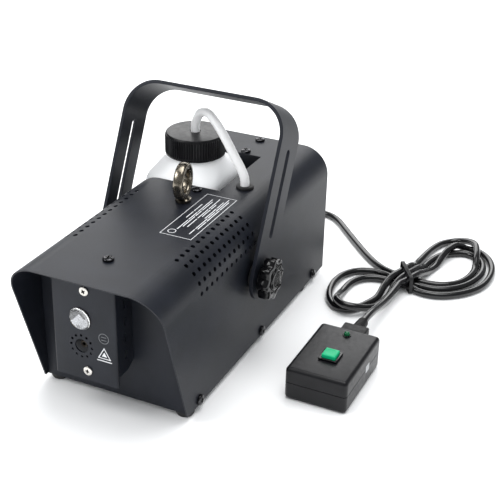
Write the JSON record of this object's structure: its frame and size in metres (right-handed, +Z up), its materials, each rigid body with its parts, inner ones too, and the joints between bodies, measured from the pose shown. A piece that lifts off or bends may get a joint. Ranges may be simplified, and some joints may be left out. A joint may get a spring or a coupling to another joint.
{
  "type": "fog machine",
  "caption": "Compact fog machine: sheet-steel body with slanted hood, tilting yoke, drop-in fluid bottle and a wired remote on a tied cord.",
  "frame": {"origin": "centre of the base tray's underside", "axes": "+X to the right seen from the front, -Y towards the front, +Z up; the feet stand 5 mm below the origin's plane"},
  "size_m": [0.3074, 0.4292, 0.2083],
  "materials": {
    "powder_coat": "fine-texture black powder coat on sheet steel",
    "black_screw": "black zinc-plated pan-head screw",
    "zinc": "bright zinc plate",
    "aluminium": "cast and machined aluminium",
    "brass": "turned brass",
    "copper": "drawn copper tube",
    "black_rubber": "moulded black rubber",
    "black_abs": "moulded black plastic, fine texture",
    "gloss_black": "polished black plastic",
    "bottle_hdpe": "natural blow-moulded polyethylene, translucent white",
    "silicone": "translucent white silicone tube",
    "clear_pmma": "clear moulded acrylic",
    "green_key": "green moulded button",
    "green_led": "tinted green light",
    "board_green": "circuit board with solder mask",
    "pvc_cord": "black PVC sheath"
  },
  "bodies": {
    "root": {"top_cover": "powder_coat", "base_tray": "powder_coat", "rear_panel": "powder_coat", "front_shield": "powder_coat", "bottle_bay": "powder_coat", "top_screw_1": "black_screw", "top_screw_2": "black_screw", "top_screw_3": "black_screw", "top_screw_4": "black_screw", "side_screw_left_1": "black_screw", "side_screw_left_2": "black_screw", "side_screw_left_3": "black_screw", "side_screw_right_1": "black_screw", "side_screw_right_2": "black_screw", "side_screw_right_3": "black_screw", "shield_screw_upper": "zinc", "shield_screw_lower": "zinc", "eye_bolt": "zinc", "pump_bracket": "zinc", "heater_bracket": "zinc", "heater_block": "aluminium", "led_reflector": "aluminium", "nozzle": "brass", "outlet_pipe": "copper", "foot_front_left": "black_rubber", "foot_front_right": "black_rubber", "foot_rear_left": "black_rubber", "foot_rear_right": "black_rubber", "tube_grommet": "black_rubber", "yoke_spacer_left": "black_rubber", "yoke_spacer_right": "black_rubber", "rear_plug": "black_rubber", "remote_plug": "black_rubber", "cable_tie": "black_rubber", "pump": "black_abs", "thermostat": "black_abs", "mains_inlet": "black_abs", "power_switch": "black_abs", "fuse_holder": "black_abs", "remote_socket": "black_abs", "remote_inlet": "black_abs", "remote_upper_shell": "black_abs", "remote_lower_shell": "black_abs", "remote_button_frame": "black_abs", "fluid_bottle": "bottle_hdpe", "fluid_tube": "silicone", "led_lens": "clear_pmma", "remote_led": "green_led", "led_board": "board_green", "control_board": "board_green", "cable_lead": "pvc_cord", "cable_bundle": "pvc_cord", "cable_tail": "pvc_cord"},
    "yoke": {"yoke_handle": "powder_coat"},
    "knob_left": {"yoke_knob_left": "gloss_black"},
    "knob_right": {"yoke_knob_right": "gloss_black"},
    "cap": {"bottle_cap": "black_abs"},
    "rocker": {"switch_rocker": "gloss_black"},
    "fuse_cap": {"fuse_cap": "black_abs"},
    "button": {"remote_button": "green_key"}
  },
  "joints": [
    {"name": "yoke_tilt", "type": "hinge", "parent": "root", "child": "yoke", "pos_m": [0, -0.0234, 0.069], "axis": [1, 0, 0], "range_deg": [-33, 83]},
    {"name": "knob_left_turn", "type": "hinge", "parent": "root", "child": "knob_left", "pos_m": [-0.0731, -0.0234, 0.069], "axis": [-1, 0, 0], "range_deg": [0, 360]},
    {"name": "knob_right_turn", "type": "hinge", "parent": "root", "child": "knob_right", "pos_m": [0.0731, -0.0234, 0.069], "axis": [1, 0, 0], "range_deg": [0, 360]},
    {"name": "cap_turn", "type": "hinge", "parent": "root", "child": "cap", "pos_m": [-0.0272, 0.05115, 0.1316], "axis": [0, 0, 1], "range_deg": [0, 540]},
    {"name": "switch_rock", "type": "hinge", "parent": "root", "child": "rocker", "pos_m": [0.036, 0.133, 0.076], "axis": [-1, 0, 0], "range_deg": [0, 22]},
    {"name": "fuse_cap_turn", "type": "hinge", "parent": "root", "child": "fuse_cap", "pos_m": [0.004, 0.134, 0.078], "axis": [0, 1, 0], "range_deg": [0, 90]},
    {"name": "button_press", "type": "slide", "parent": "root", "child": "button", "axis": [0, 0, -1], "range_m": [0, 0.0025], "stiffness_N_per_m": 300, "springref_m": -0.0005}
  ]
}
